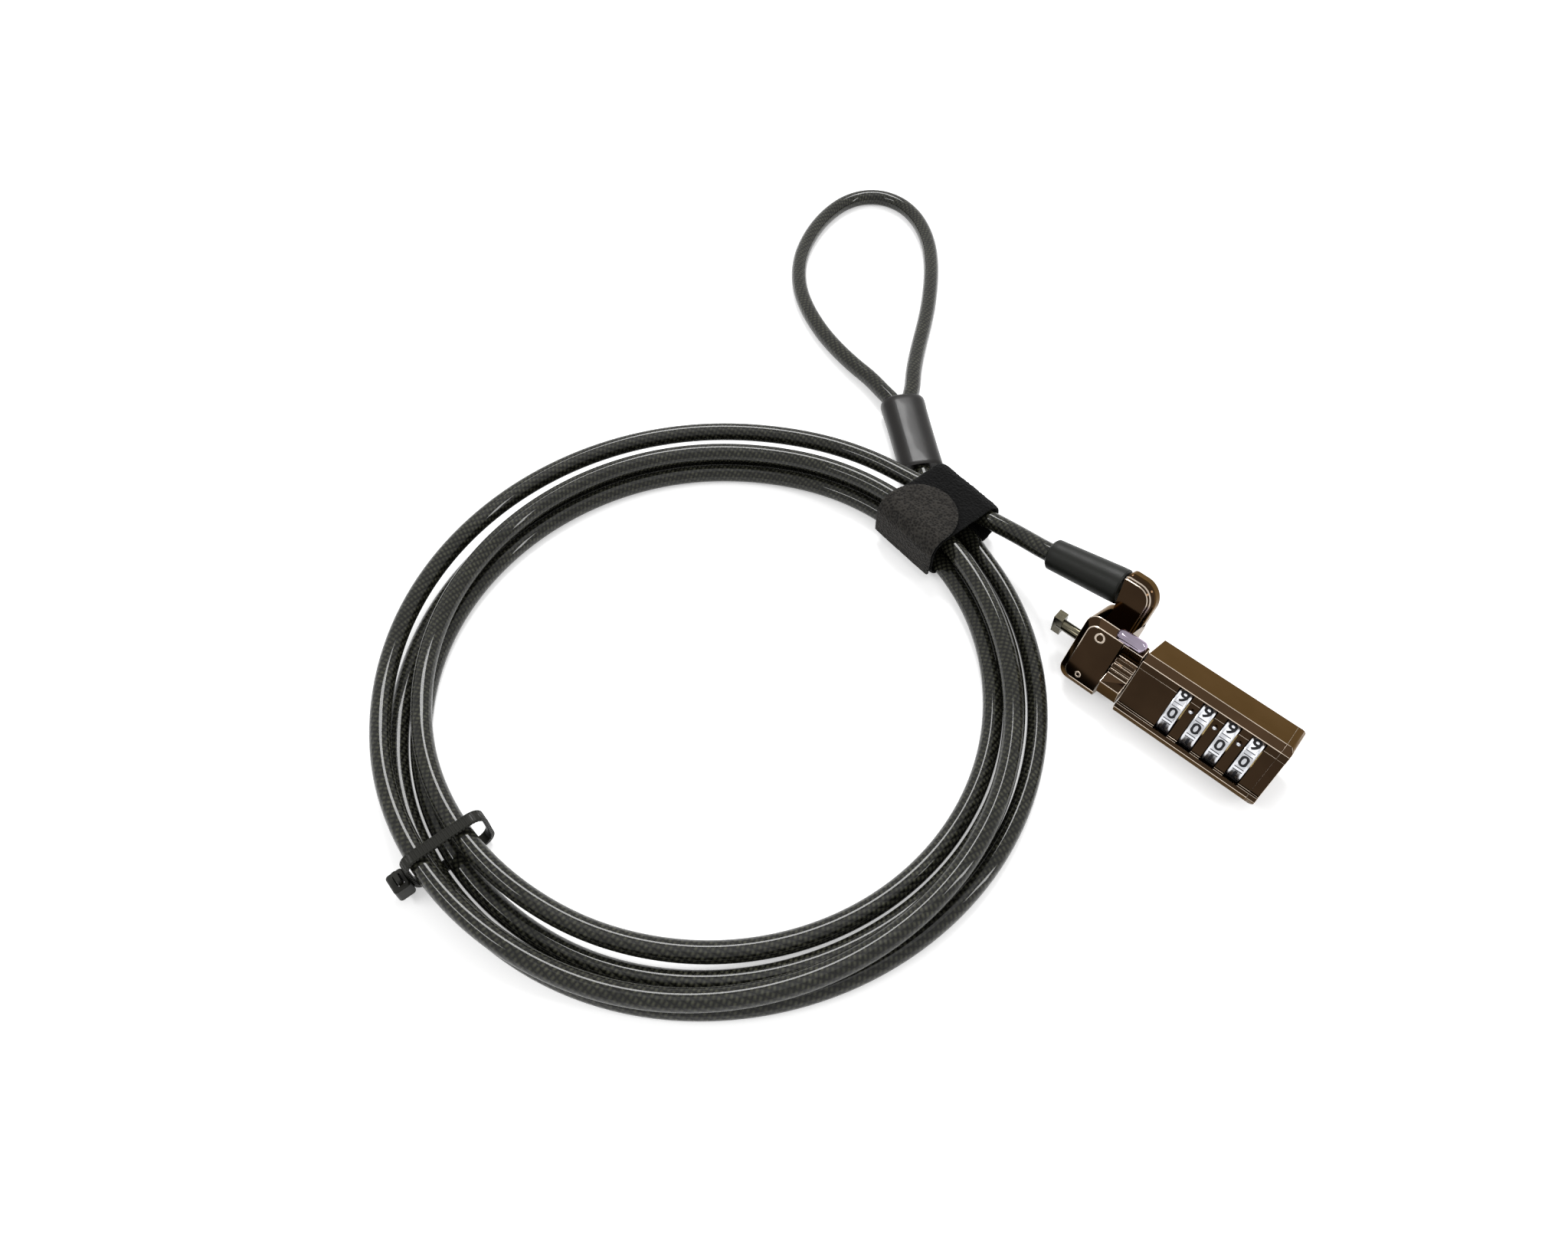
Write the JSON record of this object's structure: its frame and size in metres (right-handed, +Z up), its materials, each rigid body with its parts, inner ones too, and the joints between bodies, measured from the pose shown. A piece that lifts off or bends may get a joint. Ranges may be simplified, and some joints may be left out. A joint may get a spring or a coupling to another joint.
{
  "type": "laptop cable lock",
  "caption": "Combination lock with number dials, a quarter-turn T-bar lever and a cable lug, on a coiled sheathed steel cable with a loop end, strap and tie.",
  "frame": {"origin": "middle of the box round the lock without its cable, on the surface it rests on", "axes": "+X along the lock body from its nose to its end cap, +Z up, the dial face leaning back from -Y"},
  "size_m": [0.2248, 0.2756, 0.0247],
  "materials": {
    "gunmetal": "dark mirror plating",
    "steel": "satin",
    "chrome": "mirror",
    "dial_silver": "satin plated",
    "brass": "plain",
    "black_rubber": "satin",
    "cable_sheath": "clear smoky sheath over twisted wire rope",
    "aluminium": "plain",
    "gloss_black": "gloss",
    "strap": "loop pile",
    "strap_hook": "hook tape",
    "nylon": "satin"
  },
  "bodies": {
    "lock": {"head_block": "gunmetal", "head_neck": "gunmetal", "housing_shell": "gunmetal", "housing_end_cap": "gunmetal", "end_cap_screw": "steel", "code_reset_screw": "steel", "detent_spring": "steel", "cable_lug": "gunmetal", "lug_rivet": "steel"},
    "lever": {"lever_ring": "gunmetal", "lever_tab": "chrome", "lever_pin": "steel", "t_bar_spindle": "steel", "spindle_clip": "steel"},
    "dial_1": {"dial_1": "dial_silver", "dial_clutch_1": "brass"},
    "dial_2": {"dial_2": "dial_silver", "dial_clutch_2": "brass"},
    "dial_3": {"dial_3": "dial_silver", "dial_clutch_3": "brass"},
    "dial_4": {"dial_4": "dial_silver", "dial_clutch_4": "brass"},
    "cable": {"cable_end_fitting": "steel", "cable_sleeve": "black_rubber", "cable_tail": "cable_sheath", "cable_coil": "cable_sheath", "cable_lead": "cable_sheath", "cable_eye": "cable_sheath", "eye_ferrule": "aluminium", "ferrule_cover": "gloss_black", "strap_band": "strap", "strap_hook_end": "strap_hook", "tie_band": "nylon", "tie_head": "nylon", "tie_tail": "nylon"}
  },
  "joints": [
    {"name": "lever_turn", "type": "hinge", "parent": "lock", "child": "lever", "pos_m": [0, -0.00376, 0.0093], "axis": [1, 0, 0], "range_deg": [0, 90]},
    {"name": "dial_1_turn", "type": "hinge", "parent": "lock", "child": "dial_1", "pos_m": [0, -0.00376, 0.0093], "axis": [1, 0, 0], "continuous": true},
    {"name": "dial_2_turn", "type": "hinge", "parent": "lock", "child": "dial_2", "pos_m": [0, -0.00376, 0.0093], "axis": [1, 0, 0], "continuous": true},
    {"name": "dial_3_turn", "type": "hinge", "parent": "lock", "child": "dial_3", "pos_m": [0, -0.00376, 0.0093], "axis": [1, 0, 0], "continuous": true},
    {"name": "dial_4_turn", "type": "hinge", "parent": "lock", "child": "dial_4", "pos_m": [0, -0.00376, 0.0093], "axis": [1, 0, 0], "continuous": true},
    {"name": "cable_swivel", "type": "hinge", "parent": "lock", "child": "cable", "pos_m": [-0.02136, 0.00855, 0.01922], "axis": [0.9816, 0, 0.1908], "continuous": true}
  ]
}
